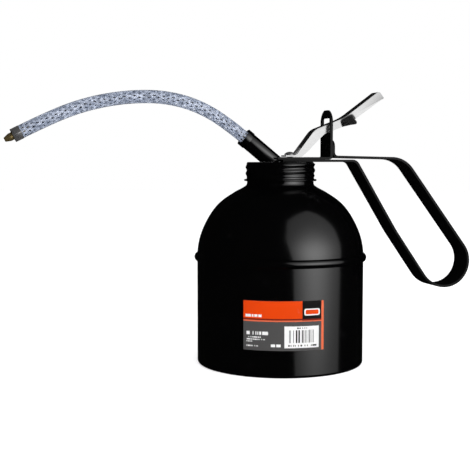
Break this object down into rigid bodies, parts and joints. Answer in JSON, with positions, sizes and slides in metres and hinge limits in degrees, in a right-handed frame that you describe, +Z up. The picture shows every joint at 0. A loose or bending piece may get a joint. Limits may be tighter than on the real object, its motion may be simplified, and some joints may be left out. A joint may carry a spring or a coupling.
{
  "type": "pump oil can",
  "caption": "Black round-shouldered oil can with a thumb-lever pump, flexible braided spout, brass nozzle and a bent strap handle on its screw cap.",
  "frame": {"origin": "centre of the can's flat underside, which stands on the surface", "axes": "+Z up the can axis, +X towards the handle, -X towards the spout, so XZ is the middle plane of the pump head"},
  "size_m": [0.2569, 0.093, 0.147],
  "materials": {
    "black_enamel": "gloss",
    "satin_black": "satin",
    "nickel_plate": "polished",
    "steel": "satin",
    "brass": "satin",
    "zinc_casting": "matte",
    "rubber": "matte",
    "tube_plastic": "matte",
    "braided_hose": "gloss",
    "label_paper": "satin"
  },
  "bodies": {
    "can": {"can_cup": "black_enamel", "can_dome": "black_enamel", "seam_bead": "black_enamel", "label": "label_paper"},
    "gasket": {"cap_gasket": "rubber"},
    "head": {"ball_cage_pin": "steel", "foot_valve": "brass", "handle_strap": "satin_black", "hose": "braided_hose", "lever_post": "satin_black", "nozzle_insert": "brass", "nozzle_nut": "steel", "nozzle_tip": "brass", "outlet_spring": "steel", "plate_screw_far": "steel", "plate_screw_near": "steel", "post_rivet_far": "satin_black", "post_rivet_near": "satin_black", "pump_barrel": "brass", "pump_block": "zinc_casting", "return_spring": "steel", "rod_gland": "brass", "screw_cap": "black_enamel", "spout_collar": "black_enamel", "spout_insert": "brass", "spout_tube": "black_enamel", "spout_weld": "black_enamel", "suction_strainer": "tube_plastic", "suction_tube": "tube_plastic"},
    "lever": {"thumb_lever": "nickel_plate"},
    "rod": {"piston_rod": "steel", "piston": "brass", "cup_seal": "rubber", "piston_nut": "steel"},
    "inlet_valve": {"inlet_ball": "steel"},
    "outlet_valve": {"outlet_ball": "steel"}
  },
  "joints": [
    {"name": "cap_lift", "type": "slide", "parent": "can", "child": "gasket", "axis": [0, 0, 1], "range_m": [0, 0.0068]},
    {"name": "cap_unscrew", "type": "hinge", "parent": "gasket", "child": "head", "pos_m": [0, 0, 0.10864], "axis": [0, 0, 1], "range_deg": [0, 720]},
    {"name": "lever_press", "type": "hinge", "parent": "head", "child": "lever", "pos_m": [0.02673, 0, 0.12434], "axis": [0, 1, 0], "range_deg": [0, 25], "stiffness_Nm_per_rad": 0.5, "springref_deg": -17.19},
    {"name": "rod_lift", "type": "slide", "parent": "head", "child": "rod", "axis": [0, 0, 1], "range_m": [0, 0.00994], "deforming": ["return_spring"]},
    {"name": "inlet_ball_lift", "type": "slide", "parent": "head", "child": "inlet_valve", "axis": [0, 0, 1], "range_m": [0, 0.0015]},
    {"name": "outlet_ball_lift", "type": "slide", "parent": "head", "child": "outlet_valve", "axis": [0, 0, 1], "range_m": [0, 0.001], "stiffness_N_per_m": 20, "springref_m": -0.001, "deforming": ["outlet_spring"]}
  ],
  "couplings": [
    {"joint": "cap_unscrew", "follows": "cap_lift", "rad_per_m": 1848},
    {"joint": "lever_press", "follows": "rod_lift", "rad_per_m": 43.914}
  ]
}
